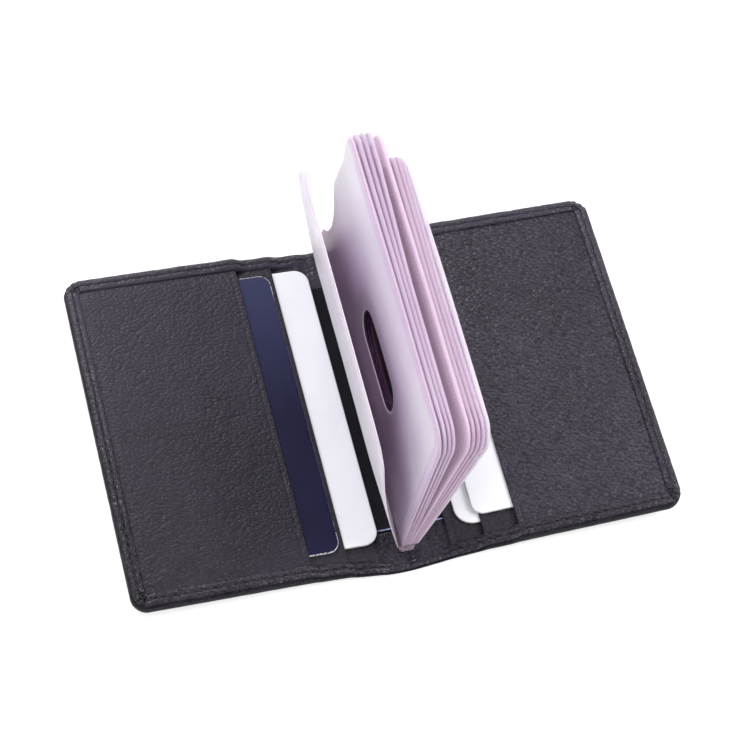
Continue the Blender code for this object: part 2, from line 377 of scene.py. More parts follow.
def leather(name, dark, light, pebble, depth, roughness, lumps=0.0, painted_back_sheen=0.0, gloss=0.40, crease=0.4):
    """Black leather: rounded pebbles, longer across the cover, with broad rubbed patches; paler pebble tops
    and darker creases are painted light and shade, and a paler back is a painted sheen.
    """
    f = Finish(name)
    drawn = f.stretched(f.shifted(2.4, 0.55), (0.68, 1.0, 0.8))
    edges = f.cells(pebble, "DISTANCE_TO_EDGE", drawn)
    creases = 1 - edges.between(0.0, 0.16)
    center = f.cells(pebble, "F1", drawn)
    pebbles = 1 - center * center * 1.2
    finer = f.cells(pebble * 0.5, "F1", drawn)
    pores = f.grain(0.35, 2.0)
    waves = f.grain(4.0, 4.0, drawn, distortion=0.6)
    broad = f.grain(26.0, 2.0)
    patches = f.grain(6.0, 4.0)
    height = pebbles * 0.9 - finer * 0.2 + pores * 0.2 + waves * 1.1 + f.grain(1.5, 3.0) * lumps
    # Painted light in the colour: paler pebble tops, alongside the real broad rubbed patches
    painted_light_and_patches = pebbles * 0.45 + broad.between(0.3, 0.7) * 0.25 + patches.between(0.3, 0.7) * 0.2
    # Painted sheen: paler towards the back of the cover
    if painted_back_sheen:
        painted_light_and_patches = painted_light_and_patches + f.axis("Y").between(-15 * MM, 46 * MM) * painted_back_sheen
    # Painted shade: the creases darker, by the crease amount
    color = f.blend(painted_light_and_patches - creases * crease, dark, light)
    shine = roughness + (pores - 0.5) * 0.14 + (broad - 0.5) * 0.12
    normal = f.bump(height, 1.0, depth)
    return f.surface(color, shine, normal, Specular_IOR_Level=gloss)


def lining_cloth():
    """Thin dark cloth with a fine plain weave."""
    f = Finish("lining_cloth")
    weave = f.axis("X").waves(0.35) * f.axis("Y").waves(0.35)
    slub = f.grain(3.0, 3.0)
    color = f.blend(weave * 0.3 + slub * 0.6, (0.0055, 0.005, 0.0065), (0.013, 0.0115, 0.015))
    normal = f.bump(weave * 0.5 + slub, 0.5, 0.05)
    return f.surface(color, 0.62 + slub * 0.2, normal, Specular_IOR_Level=0.12)


def thread():
    """Twisted black thread."""
    f = Finish("black_thread")
    twist = (f.axis("X") + f.axis("Y")).waves(0.4)
    color = f.blend(twist * 0.5 + 0.5, (0.008, 0.007, 0.009), (0.03, 0.027, 0.032))
    return f.surface(color, 0.5 + twist * 0.05, f.bump(twist, 0.6, 0.05))


def card_face(name, low, high, patch, roughness=0.24, back=None):
    """Laminated card: nearly even, with rubbed patches and hairline scuffs, and perhaps a paler back end,
    which is a painted reflection.
    """
    f = Finish(name)
    rub = f.grain(patch, 3.0)
    fine = f.streaks(0.12, 2600.0).between(0.62, 0.75)
    color = f.blend(rub.between(0.3, 0.7), low, high)
    # Painted reflection: paler towards the back end, where a back colour is given
    if back:
        color = f.blend(f.axis("Y").between(-4 * MM, 46 * MM), color, back)
    shine = roughness + rub * 0.08 + fine * 0.1
    return f.surface(color, shine, f.bump(rub + fine * 0.05, 0.06, 0.1), Specular_IOR_Level=0.22)


def card_core(name, low, high):
    """The cut edge of a card: white core, a little ragged, showing most at the corners."""
    f = Finish(name)
    chips = f.grain(0.7, 4.0)
    corners = f.axis("Y").math("ABSOLUTE").between(33 * MM, 39 * MM)
    color = f.blend(chips.between(0.40, 0.50) * (corners * 0.92 + 0.08), low, high)
    return f.surface(color, 0.45 + chips * 0.2, f.bump(chips, 0.4, 0.08))


def clear_film():
    """Thin glossy film with faint ripples."""
    f = Finish("clear_film")
    ripples = f.grain(7.0, 2.0)
    color = f.blend(ripples, (0.012, 0.010, 0.016), (0.035, 0.032, 0.055))
    alpha = 0.12 + ripples.between(0.4, 0.8) * 0.08
    return f.surface(color, 0.12 + ripples * 0.1, f.bump(ripples, 0.3, 0.3), Alpha=alpha)


def film_edge():
    """The cut front edge of the clear film, which gathers light; that light is painted into its colour as a
    patchy pale blue highlight.
    """
    f = Finish("film_edge")
    painted_glint = f.grain(1.5, 2.0)
    color = f.blend(painted_glint.between(0.3, 0.7), (0.08, 0.11, 0.26), (0.50, 0.58, 0.90))
    return f.surface(color, 0.2 + painted_glint * 0.1)


# Strength of the pages' painted glow, emission that stands in for the light their milky film scatters
PAGE_GLOW = 0.25


def page_film(name, low, high, welded, cover, glow, streaky=0.10, wrinkled=0.0, dark_rim=0.5, rim_glow=0.5):
    """Milky tinted page of two welded films, in its own tint between weld and edge, with painted shade low
    down, on its folded rim and round the slot, and a painted glow.
    """
    f = Finish(name)
    depth = f.attribute("depth")
    shade = f.attribute("shade")
    along = f.axis("Y")
    height = f.axis("Z")
    cloud = f.grain(16.0, 3.0)
    streaks = f.streaks(0.05, 900.0)
    ribs = along.waves(0.62) * 0.5 + 0.5
    dashes = (along + height).waves(1.25).between(-0.2, 0.5)
    rim = 1 - depth.between(0.3, 1.1)
    weld = depth.near(2.2, 0.45)
    inner_line = depth.near(3.5, 0.3)
    band = (1 - depth.between(3.3, 4.2)) * depth.between(0.2, 0.6)
    # Painted shade: darker low in the valley and towards the back, lighter towards the front and the top
    upper = height.between(17 * MM, 45 * MM) + along.between(-18 * MM, -44 * MM) * 0.6
    upper = upper + along.between(0.0, 40 * MM) * 0.12
    body = f.blend(upper * 0.85 + cloud * 0.15, low, high)
    body = f.blend(band * 0.7, body, welded)
    body = f.blend(streaks.between(0.45, 0.7) * streaky, body, (0.97, 0.93, 0.98))
    if wrinkled:
        folds = f.streaks(0.045, 520.0, 4.0)
        body = f.blend(folds.near(0.5, 0.025) * wrinkled, body, low)
    body = f.blend(band * ribs * 0.10, body, (0.95, 0.89, 0.95))
    body = f.blend(weld * dashes * 0.4, body, (0.96, 0.93, 0.98))
    body = f.blend(inner_line * 0.2, body, (0.97, 0.94, 0.99))
    # Painted shade on the folded rim, which tones down its lit ridge
    body = f.blend(rim * dark_rim, body, (0.46, 0.34, 0.46))
    # Painted shade round the thumb slot, where the shade attribute asks for it
    body = f.blend(shade, body, (0.022, 0.010, 0.024))
    alpha = cover + band * 0.06 + weld * dashes * 0.08 + rim * 0.12 + inner_line * 0.05 + shade * 0.4
    relief = weld * dashes * 0.6 + ribs * band * 0.25 + cloud * 0.5 + streaks * 0.5
    roughness = 0.30 + cloud * 0.12 + band * 0.08
    # Painted glow: emission in the page's own colour, stronger on the rim
    lit = f.blend(rim * rim_glow + glow / PAGE_GLOW, (0, 0, 0), body)
    return f.surface(
        body, roughness, f.bump(relief, 0.4, 0.1), Alpha=alpha.math("MINIMUM", 1.0), Specular_IOR_Level=0.3,
        Subsurface_Weight=0.9, Subsurface_Radius=(1.0, 0.72, 0.92), Subsurface_Scale=2.0 * MM,
        Emission_Color=lit, Emission_Strength=PAGE_GLOW,
    )


# Paler towards the back: a painted sheen
OUTER_LEATHER = leather(
    "outer_leather", (0.007, 0.005, 0.0105), (0.044, 0.036, 0.056),
    pebble=0.80, depth=0.15, roughness=0.33, lumps=1.2, painted_back_sheen=0.8, gloss=0.36,
)
# The outside walls and underside: the same leather, matt, and darker as painted shade
SHADED_MATT_OUTSIDE = leather(
    "shaded_matt_outside", (0.005, 0.004, 0.0075), (0.025, 0.020, 0.032),
    pebble=0.80, depth=0.15, roughness=0.50, lumps=1.2, gloss=0.06,
)
# One leather on both panels in lit and shaded copies: the left darker as painted shade and paler towards the
# back as a painted sheen, the right with darker creases as painted shade
POCKET_LEATHER = {
    "left": leather(
        "left_pocket_leather", (0.0085, 0.0058, 0.013), (0.023, 0.0175, 0.033),
        pebble=0.72, depth=0.12, roughness=0.45, painted_back_sheen=0.8, gloss=0.37,
    ),
    "right": leather(
        "right_pocket_leather", (0.0085, 0.0055, 0.0135), (0.046, 0.0355, 0.061),
        pebble=0.92, depth=0.22, roughness=0.42, crease=0.8,
    ),
}
# The strips: the pocket leather in a matt copy, darker as painted shade
MATT_LEATHER = leather(
    "strip_leather", (0.0065, 0.0045, 0.0095), (0.028, 0.0225, 0.037),
    pebble=0.75, depth=0.08, roughness=0.45,
)
LINING_CLOTH = lining_cloth()
THREAD = thread()
WHITE_FACE = card_face("white_card_face", (0.88, 0.88, 0.915), (0.91, 0.91, 0.94), patch=20.0)
WHITE_CORE = card_core("white_card_core", (0.70, 0.66, 0.64), (0.86, 0.84, 0.86))
# The navy card's paler back end is a painted reflection of the back light
NAVY_FACE = card_face(
    "navy_card_face", (0.0068, 0.0070, 0.032), (0.0095, 0.0098, 0.040),
    patch=14.0, roughness=0.26, back=(0.036, 0.040, 0.102),
)
NAVY_CORE = card_core("navy_card_core", (0.03, 0.03, 0.09), (0.92, 0.92, 0.96))
CLEAR_FILM = clear_film()
FILM_EDGE = film_edge()
# Each page's low colour is painted shade deep in the valley, its high colour where light falls; glow and
# rim_glow add a painted glow
FACE_PAGE = page_film(
    "lilac_face_page", (0.12, 0.045, 0.12), (0.98, 0.83, 1.0), (0.66, 0.51, 0.69),
    cover=0.92, glow=0.012, streaky=0.04, dark_rim=0.75, rim_glow=0.0,
)
LILAC_PAGE = page_film(
    "lilac_page", (0.42, 0.29, 0.42), (0.61, 0.50, 0.64), (0.58, 0.48, 0.61), cover=0.60, glow=0.045,
)
STREAK_PAGE = page_film(
    "streaked_page", (0.46, 0.32, 0.46), (0.69, 0.58, 0.72), (0.64, 0.53, 0.67),
    cover=0.60, glow=0.045, streaky=0.3,
)
PALE_PAGE = page_film(
    "pale_page", (0.68, 0.61, 0.80), (0.86, 0.81, 0.94), (0.86, 0.81, 0.94),
    cover=0.90, glow=0.02, streaky=0.25, wrinkled=0.8, dark_rim=0.45, rim_glow=0.0,
)
ROSE_FACE_PAGE = page_film(
    "rose_face_page", (0.62, 0.43, 0.57), (0.80, 0.64, 0.76), (0.73, 0.58, 0.70), cover=0.72, glow=0.05,
)
ROSE_PAGE = page_film(
    "rose_page", (0.48, 0.32, 0.45), (0.62, 0.49, 0.61), (0.60, 0.47, 0.58), cover=0.62, glow=0.05,
)
LAST_PAGE = page_film(
    "last_page", (0.60, 0.54, 0.63), (0.78, 0.75, 0.82), (0.76, 0.73, 0.80),
    cover=0.68, glow=0.045, streaky=0.25, wrinkled=0.4, dark_rim=0.3, rim_glow=0.2,
)
# The pages' welded foot, dark as painted shade of the valley between the pages
ROOT_FILM = page_film(
    "root_film", (0.16, 0.10, 0.15), (0.28, 0.19, 0.26), (0.20, 0.13, 0.19), cover=0.90, glow=0.0,
)
PAGE_FINISHES = (
    PALE_PAGE, FACE_PAGE, STREAK_PAGE, LILAC_PAGE, STREAK_PAGE,
    ROSE_FACE_PAGE, ROSE_PAGE, ROSE_PAGE, STREAK_PAGE, LAST_PAGE,
)


def stepped(name, u, level, before, after):
    """A level that climbs at the free edge of each strip and the panel, from before it to after it."""
    for edge, top, below in zip(EDGES[name], LAYER_TOPS[1:], LAYER_TOPS):
        level += (top - below) * smooth(edge - before, edge + after, u)
    return level


def seen_level(name, u):
    """Top of what lies beside the hem at this distance from the crease."""
    return stepped(name, u, LINING_TOP, 0.3, 0.3)


def hem_level(name, u):
    """Top of the hem, which drapes over the stepped ends of the strips."""
    return stepped(name, u, LINING_TOP + HEM, 3.4, 0.6)


# Steps along a half's back or front edge, round a corner and along its far edge, and where the corners begin
END_STEPS = 96
ARC_STEPS = 28
FAR_STEPS = 112
CORNER_STARTS = (END_STEPS, END_STEPS + ARC_STEPS + FAR_STEPS)

# Rings of the outer leather, from under the cover, round its edge, over the hem and back to the tray's floor:
# inset on a cover, share of the hem's height, lift, inset at the spine, height at the spine
SEEN = -1
RINGS = (
    (10.0, 0.0, 0.00, 10.0, 0.00),
    (3.4, 0.0, 0.00, 3.4, 0.00),
    (2.5, 0.0, 0.05, 2.5, 0.05),
    (2.2, 0.0, 0.15, 2.2, 0.15),
    (1.9, 0.0, 0.10, 1.9, 0.10),
    (1.2, 0.0, 0.28, 1.2, 0.16),
    (0.5, 0.0, 0.80, 0.5, 0.42),
    (0.12, 0.3, 0.10, 0.12, 0.80),
    (0.0, 0.52, 0.0, 0.0, 1.10),
    (0.10, 0.76, 0.0, 0.10, 1.45),
    (0.45, 1.0, -0.42, 0.45, 1.75),
    (0.95, 1.0, -0.12, 0.95, 1.93),
    (1.5, 1.0, 0.00, 1.5, 2.00),
    (1.9, 1.0, -0.06, 1.9, 1.96),
    (2.2, 1.0, -0.38, 2.2, 1.80),
    (2.5, 1.0, -0.06, 2.5, 1.90),
    (2.9, 1.0, 0.00, 2.9, 1.80),
    (3.4, 1.0, -0.04, 4.4, 1.50),
    (3.75, 1.0, -0.16, 8.0, 1.36),
    (3.95, 1.0, -0.46, 11.2, 1.34),
    (4.0, SEEN, 0.04, 11.5, 1.24),
    (2.8, SEEN, 0.03, 2.8, 1.22),
    (2.8, 0.0, FLOOR, 2.8, FLOOR),
    (10.0, 0.0, FLOOR, 10.0, FLOOR),
)
# The rings that are matt and darker as painted shade, that lie on top, that crease at the corners and that
# wander along the straights
SHADED_MATT_RINGS = 10
TOP_RINGS = range(9, 20)
CREASED_RINGS = range(5, 20)
WANDERING_RINGS = range(6, 13)
# Creases round a corner, as place and height
PLEATS = ((0.12, -0.34), (0.27, 0.22), (0.40, -0.40), (0.55, 0.24), (0.68, -0.38), (0.84, 0.18))


def edge_outline(inset):
    """Points (p, y) at this inset from a half's edge, from the spine's middle at the back to the front."""
    radius = max(CORNER_RADIUS - inset, LEAST_RADIUS)
    reach_p = FAR_EDGE - inset - radius
    reach_y = HALF_HEIGHT - inset - radius
    back = [(reach_p * i / END_STEPS, HALF_HEIGHT - inset) for i in range(END_STEPS + 1)]
    turns = [math.pi / 2 * i / ARC_STEPS for i in range(1, ARC_STEPS)]
    back += [(reach_p + radius * math.sin(a), reach_y + radius * math.cos(a)) for a in turns]
    far = [(FAR_EDGE - inset, reach_y * (1 - 2 * i / FAR_STEPS)) for i in range(FAR_STEPS + 1)]
    return back + far + [(p, -y) for p, y in reversed(back)]


def edge_drift(side, p, y):
    """How far the stretched leather strays along Y near a half's back and front edges, in millimetres."""
    if y <= 0:
        drift = -1.2 * swell(-3.0, 11.0, side * p)
    elif side > 0:
        drift = mix(1.0, -1.2, (p - 18) / 58) * smooth(2, 14, p)
    else:
        drift = 0.0
    return drift * smooth(30, 44, abs(y))


def low_hem_share(name, u):
    """1 where the hem lies on the lining alone, falling to 0 where it has climbed on to the inner strip."""
    return 1 - smooth(EDGES[name][0] - 3.0, EDGES[name][0] + 0.2, u)


def corner_share(station):
    """How far round a corner this station is, or None on a straight."""
    for first in CORNER_STARTS:
        if first < station < first + ARC_STEPS:
            return (station - first) / ARC_STEPS
    return None


def running_lengths(outline):
    lengths = [0.0]
    for (p0, y0), (p1, y1) in zip(outline, outline[1:]):
        lengths.append(lengths[-1] + math.hypot(p1 - p0, y1 - y0))
    return lengths


def leather_ring(name, index, lengths):
    """The points of one ring of the outer leather, with the hem's waves, creases and stitch puckers."""
    side = SIDES[name]
    first_edge = EDGES[name][0]
    inset, share, lift, spine_inset, spine_height = RINGS[index]
    on_top = index in TOP_RINGS
    points = []
    for station, ((p, y), (_, spine_y)) in enumerate(zip(edge_outline(inset), edge_outline(spine_inset))):
        u = p - CREASE
        run = lengths[station]
        near_spine = 1 - smooth(first_edge + 0.8, first_edge + 2.6, u)
        low_hem = low_hem_share(name, u)
        if inset != spine_inset:
            y = mix(y, spine_y, near_spine)
            low_hem = 1 - (1 - near_spine) ** 3
        if share == SEEN:
            height = seen_level(name, u) + lift
        else:
            height = share * hem_level(name, u) + lift
        height = mix(height, spine_height, low_hem)
        corner = corner_share(station)
        if corner is not None and index in CREASED_RINGS:
            pleat = sum(size * swell(at, 0.05, corner) for at, size in PLEATS)
            height += pleat * (0.75 if on_top else 0.2) - 0.35 * math.sin(math.pi * corner) * on_top
            p += 0.12 * pleat
        if on_top:
            calm = 1 - smooth(3.3, 4.0, inset) * (1 - near_spine)
            height += calm * 0.13 * wander(run, inset, 5.0, 3.1 + side)
            height += calm * 0.15 * wander(run, inset * 1.5, 1.7, 7.7 + side)
            height += near_spine * 0.05 * wander(p, y, 1.3, 2.2) * smooth(3.0, 4.5, spine_inset)
            pucker = math.cos(2 * math.pi * run / STITCH_PITCH)
            height += 0.05 * pucker * swell(STITCH_INSET, 0.75, inset)
        if corner is None and index in WANDERING_RINGS:
            shift = abs(0.10 * wander(run, index * 0.4, 4.0, 11.0))
            if station < CORNER_STARTS[0]:
                y -= shift
            elif station > CORNER_STARTS[1] + ARC_STEPS:
                y += shift
            else:
                p -= shift
        drift = edge_drift(side, p, y) * (1 - 0.45 * smooth(2, 6, min(inset, spine_inset)))
        points.append(place(side, p, y + drift * (1 - smooth(6, 10, inset)), height))
    return points


def leather_half(name):
    """Half of the outer leather with its hem turned over the pockets' ends."""
    side = SIDES[name]
    form = Form()
    lengths = running_lengths(edge_outline(STITCH_INSET))
    rows = [form.row(leather_ring(name, index, lengths)) for index in range(len(RINGS))]
    # The rings round the outside edge take the matt leather, darker as painted shade
    form.skin(rows[:SHADED_MATT_RINGS + 1], mark=1)
    form.skin(rows[SHADED_MATT_RINGS:])
    floor = leather_field(form, side, rows[-1], FLOOR, 0.0, 0)
    under = leather_field(form, side, rows[0], 0.0, 0.09, 1)
    front = [row[-1] for row in rows]
    back = [row[0] for row in reversed(rows)]
    form.face(under + front[1:-1] + floor[::-1] + back[1:-1])
    obj = form.make(f"outer_leather_{name}", [OUTER_LEATHER, SHADED_MATT_OUTSIDE])
    nodes = [f"cover_shell_{name}"] + (["spine_shell"] if name == "left" else [])
    settle_over_crease(obj, name, "outer_leather", *nodes)


def leather_field(form, side, ring, height, dents, mark):
    """The flat field inside a ring, in columns across the cover. Returns its column at the spine's middle."""
    inset = RINGS[0][0]
    reach_p = FAR_EDGE - inset - LEAST_RADIUS
    reach_y = HALF_HEIGHT - inset - LEAST_RADIUS
    columns = []
    for i in range(END_STEPS + 1):
        p = reach_p * i / END_STEPS
        points = []
        for k in range(FAR_STEPS + 1):
            y = reach_y * (1 - 2 * k / FAR_STEPS)
            calm = smooth(0, 4, reach_y - abs(y)) * smooth(0, 4, reach_p - p)
            points.append(place(side, p, y, height + dents * calm * abs(wander(p, y, 14.0, 5.5))))
        columns.append([ring[i]] + form.row(points) + [ring[-1 - i]])
    form.skin(columns, mark=mark)
    first = END_STEPS + ARC_STEPS
    far = ring[first:first + FAR_STEPS + 1]
    form.skin([columns[-1][1:-1], far], mark=mark)
    form.face(ring[END_STEPS:first + 1] + [columns[-1][1]], mark)
    last = first + FAR_STEPS
    form.face(ring[last:last + ARC_STEPS + 1] + [columns[-1][-2]], mark)
    return columns[0]


def at_length(outline, lengths, run):
    """Where an outline is at this running length, and its direction there."""
    for i in range(1, len(lengths)):
        if lengths[i] >= run:
            break
    share = (run - lengths[i - 1]) / (lengths[i] - lengths[i - 1])
    (p0, y0), (p1, y1) = outline[i - 1], outline[i]
    size = math.hypot(p1 - p0, y1 - y0)
    tangent = ((p1 - p0) / size, (y1 - y0) / size)
    return mix(p0, p1, share), mix(y0, y1, share), tangent


def stitches(name):
    """Short thread stitches in the groove of the hem, and their other side under the cover."""
    side = SIDES[name]
    form = Form()
    outline = edge_outline(STITCH_INSET)
    lengths = running_lengths(outline)
    reach = STITCH_SHARE * STITCH_PITCH
    for k in range(int(lengths[-1] / STITCH_PITCH)):
        p, y, (along_p, along_y) = at_length(outline, lengths, (k + 0.5) * STITCH_PITCH)
        y += edge_drift(side, p, y)
        u = p - CREASE
        upper = mix(hem_level(name, u) - TOP_THREAD_DEPTH, SPINE_THREAD_HEIGHT, low_hem_share(name, u))
        for top, sink in zip((upper, UNDER_THREAD_HEIGHT), THREAD_DIPS):
            rows = []
            for step in range(7):
                t = step / 3 - 1
                width = THREAD_RADIUS * math.sqrt(max(0.05, 1 - t ** 4))
                ring = []
                for turn in range(6):
                    angle = math.pi / 3 * turn
                    sideways = width * math.cos(angle)
                    here_p = p + along_p * reach * t - along_y * sideways
                    here_y = y + along_y * reach * t + along_p * sideways
                    ring.append(place(side, here_p, here_y, top + sink * t * t + width * math.sin(angle)))
                rows.append(form.row(ring))
            form.tube(rows)
    obj = form.make(f"stitching_{name}", [THREAD], sharp=60.0)
    settle_over_crease(obj, name, "outer_leather")


def stops(low, high, step):
    """Evenly spaced values from low to high, about this step apart."""
    count = max(1, round((high - low) / step))
    return [low + (high - low) * i / count for i in range(count + 1)]


# Steps round the near edge of a layer
EDGE_TURNS = 6


def slab(side, where, columns, rows, top, thickness, half_length=None, cut_mark=0, hidden_step=6):
    """A thin layer with a rounded near edge. top(p, y) is its upper surface, and where() places its points.

    Rows are Y values, or shares of half_length(p) where that is given. The underside takes fewer columns.
    """
    form = Form()
    radius = thickness / 2
    near = columns[0]

    def across(p, v):
        return v * half_length(p) if half_length else v

    def layer(p, v, depth):
        y = across(p, v)
        return where(side, p, y, top(p, y) - depth)

    loops = []
    for v in rows:
        loop = [layer(p, v, 0.0) for p in reversed(columns[1:])]
        y = across(near, v)
        edge_top = top(near, y)
        for turn in range(EDGE_TURNS + 1):
            angle = math.pi * turn / EDGE_TURNS
            out = near + radius - radius * math.sin(angle)
            loop.append(where(side, out, y, edge_top - radius + radius * math.cos(angle)))
        loop += [layer(p, v, thickness) for p in columns[1::hidden_step] + columns[-1:]]
        loops.append(form.row(loop))
    form.skin(loops[:2], around=True, mark=cut_mark)
    form.skin(loops[1:], around=True)
    form.face(loops[0], cut_mark)
    form.face(loops[-1])
    return form


def pocket_rows(step):
    """Y values along a layer of the pockets."""
    return stops(-POCKET_HALF_LENGTH, POCKET_HALF_LENGTH, step)


def lining(name):
    """Half of the lining, from the spine's middle to under the hem."""
    side = SIDES[name]

    def top(p, y):
        return LINING_TOP + 0.03 * wander(p, y, 6.0, 1.0)

    columns = stops(0, 24, 1.0) + stops(28, POCKET_FAR, 6.0)
    form = slab(side, place, columns, pocket_rows(1.2), top, LINING)
    obj = form.make(f"lining_{name}", [LINING_CLOTH])
    nodes = [f"cover_lining_{name}"] + (["spine_lining"] if name == "left" else [])
    settle_over_crease(obj, name, "lining_cloth", *nodes)


def strip(name, level):
    """A pocket strip with a turned free edge: level 0 is the inner one, 1 the outer one."""
    side = SIDES[name]
    edge = EDGES[name][level]
    surface = LAYER_TOPS[level + 1]
    label = ("inner", "outer")[level]

    def top(u, y):
        inside = u - edge
        end = POCKET_HALF_LENGTH - abs(y)
        height = surface - 0.07 * swell(1.7, 0.35, inside)
        height += 0.03 * swell(0.8, 0.5, inside)
        height += 0.05 * wander(u, y, 3.5, 2.0 + level + side) * smooth(0, 2, inside)
        height += 0.02 * wander(u * 0.4, y, 1.1, 6.0 + level)
        return height - 0.12 * (1 - smooth(0.8, 4.5, end))

    columns = stops(edge, edge + 12.0, 0.55) + stops(edge + 16.0, POCKET_FAR - CREASE, 5.0)
    form = slab(side, on_cover, columns, pocket_rows(0.8), top, STRIP_LEATHER)
    obj = form.make(f"strip_{label}_piece_{name}", [MATT_LEATHER])
    settle(obj, f"cover_{name}", "pocket_leather", f"strip_{label}_{name}")


# The diagonal of a unit square
DIAGONAL = 1.4142


def panel(name):
    """The large pocket panel: nearly flat over the cards, with soft dips along the hem."""
    side = SIDES[name]
    edge = EDGES[name][2]

    def top(u, y):
        inside = u - edge
        end = HALF_HEIGHT - HEM_WIDTH - abs(y)
        outer = COVER_REACH - HEM_WIDTH - u
        height = PANEL_TOP - 0.07 * swell(1.6, 0.3, inside)
        height += 0.10 * wander(u, y, 13.0, 4.0 + side) + 0.05 * wander(u, y, 4.2, 8.0 + side)
        height += 0.025 * wander(u, y, 1.6, 9.0 + side)
        creases = abs(wander(u * 0.35, y, 1.15, 12.0 + side))
        height -= 0.06 * (1 - smooth(0.0, 0.35, creases)) * (1 - smooth(2.5, 8.0, inside)) * (side > 0)
        height -= 0.20 * (1 - smooth(0.0, 3.2, end)) + 0.16 * (1 - smooth(0.0, 2.6, outer))
        if side < 0 and y < 0:
            ridge = (outer - end - 1.5) / DIAGONAL
            along = (outer + end) / DIAGONAL
            height += 0.16 * swell(0.0, 1.5, ridge) * swell(7.0, 5.0, along)
            height -= 0.12 * swell(4.0, 2.2, ridge) * swell(7.0, 5.0, along)
        return height

    columns = stops(edge, edge + 3.0, 0.2) + stops(edge + 3.0, POCKET_FAR - CREASE, 0.75)[1:]
    form = slab(side, on_cover, columns, pocket_rows(0.75), top, PANEL_LEATHER)
    obj = form.make(f"panel_{name}", [POCKET_LEATHER[name]])
    settle(obj, f"cover_{name}", "pocket_leather", f"pocket_panel_{name}")


def card(name, level, low, face, core, near, shift, near_radius):
    """A plastic card of the standard size, with a softened edge."""
    side = SIDES[name]
    form = Form()
    rows = []
    far = near + CARD_WIDTH
    corners = (
        (far, 1, CARD_RADIUS, 0.0),
        (near, 1, near_radius, math.pi / 2),
        (near, -1, near_radius, math.pi),
        (far, -1, CARD_RADIUS, 1.5 * math.pi),
    )
    for inset, height in CARD_RINGS:
        points = []
        for u, end, radius, start in corners:
            center_u = u + (-1 if u > near else 1) * radius
            center_y = shift + end * (CARD_LENGTH / 2 - radius)
            reach = radius - inset
            for step in range(CARD_ARC_STEPS + 1):
                angle = start + math.pi / 2 * step / CARD_ARC_STEPS
                at_u = center_u + reach * math.cos(angle)
                points.append(on_cover(side, at_u, center_y + reach * math.sin(angle), low + height))
        rows.append(form.row(points))
    form.face(rows[0], 1)
    form.skin(rows[:CARD_FACE_RING + 1], around=True, mark=1)
    form.skin(rows[CARD_FACE_RING:], around=True)
    form.face(rows[-1])
    obj = form.make(f"card_piece_{name}_{level}", [face, core], sharp=50.0)
    slot = "navy_card" if face is NAVY_FACE else "white_card"
    settle(obj, f"card_{name}_{level}", slot, f"card_{name}_{level}")


def insert_film(name):
    """Half of the insert's base film, with the flap that is tucked under the inner strip."""
    side = SIDES[name]
    corner = [FILM_REACH - FILM_RADIUS * share for share in (0.75, 0.5, 0.3, 0.15, 0.05, 0.0)]

    def half_length(p):
        over = max(0.0, min(FILM_RADIUS, p - FILM_REACH + FILM_RADIUS))
        return FILM_HALF_LENGTH - FILM_RADIUS + math.sqrt(FILM_RADIUS ** 2 - over ** 2)

    def top(p, y):
        return FILM_TOP + 0.025 * wander(p, y, 5.0, 4.4)

    columns = stops(0, FILM_REACH - FILM_RADIUS, 0.8) + corner
    rows = [-1.0] + stops(-0.992, 0.992, 0.025) + [1.0]
    form = slab(side, place, columns, rows, top, FILM, half_length, cut_mark=1, hidden_step=1)
    obj = form.make(f"insert_film_{name}", [CLEAR_FILM, FILM_EDGE])
    settle_over_crease(obj, name, "clear_film", f"insert_flap_{name}")


# The pages, numbered from the left: page 0, a first group from 1 to 5 and a second group from 6 to 9
PAGE_LOW = 2.5
PAGE_FRONT = -44.3
PAGE_HEIGHT = 61.0
PAGE_SUNK = -0.6
PAGE_TOPS = (59.8, 61.2, 62.0, 62.0, 62.0, 61.0, 61.0, 61.0, 61.0, 61.0)
FRONT_RADIUS = 6.5
FOOT_RADIUS = 2.0
BACK_RADII = (9.0, 4.5, 4.0, 4.0, 4.0, 5.0, 3.0, 3.0, 4.0, 7.0)
# Steps along a page's free edge and foot, and down its front
LONG_STEPS = 62
FRONT_STEPS = 38
# Distance between the pages' roots, and how far each page leans to the right, in degrees
ROOT_PITCH = 0.5
LEANS = (-10.2, 3.5, 4.1, 4.7, 5.3, 8.9, 9.68, 10.46, 11.24, 12.02)
# How much each page's lean changes towards the back and towards the middle of its length
BACK_LEANS = (0.0, -0.35, -0.05, 0.35, 1.0, -0.4, 0.1, 0.1, -0.2, -0.5)
MIDDLE_LEANS = (0.0, 0.0, 0.0, 0.0, 0.0, 0.0, -0.2, -0.3, -0.5, 0.0)
# The welded foot that holds the pages
ROOT_LOW = 1.45
ROOT_TOP = 2.75
ROOT_HALF_WIDTH = 2.55
ROOT_BACK = 46.2
ROOT_STEPS = 16
# The thumb slot, and over which rings and how much painted shade each page takes round it
SLOT_LENGTH, SLOT_WIDTH, SLOT_HEIGHT, SLOT_SHIFT = 29.5, 11.5, 26.0, -1.0
PAINTED_SHADE_RINGS = (13.0, 16.5)
SLOT_PAINTED_SHADES = (0.0, 0.35, 1.0, 1.0, 1.0, 1.0, 0.0, 0.0, 0.0, 0.0)

# The pages' open back edges, as height and Y
LONG_MOUTH = (
    (0, 49.8), (3, 50.2), (9, 48.6), (15, 46.2), (20, 45.2), (24, 45.4), (28, 46.8), (31, 48.8), (34.5, 50.2),
    (40, 49.6), (48, 48.4), (57, 49.2), (70, 49.3),
)
SHORT_MOUTH = ((0, 44.2), (14, 46.0), (22, 43.8), (34, 45.8), (46, 45.4), (70, 45.0))
LAST_MOUTH = ((0, 45.5), (14, 46.0), (22, 43.8), (32, 44.6), (44, 42.4), (56, 41.0), (70, 41.0))
MOUTHS = (SHORT_MOUTH,) + (LONG_MOUTH,) * 5 + (LAST_MOUTH,) * 4


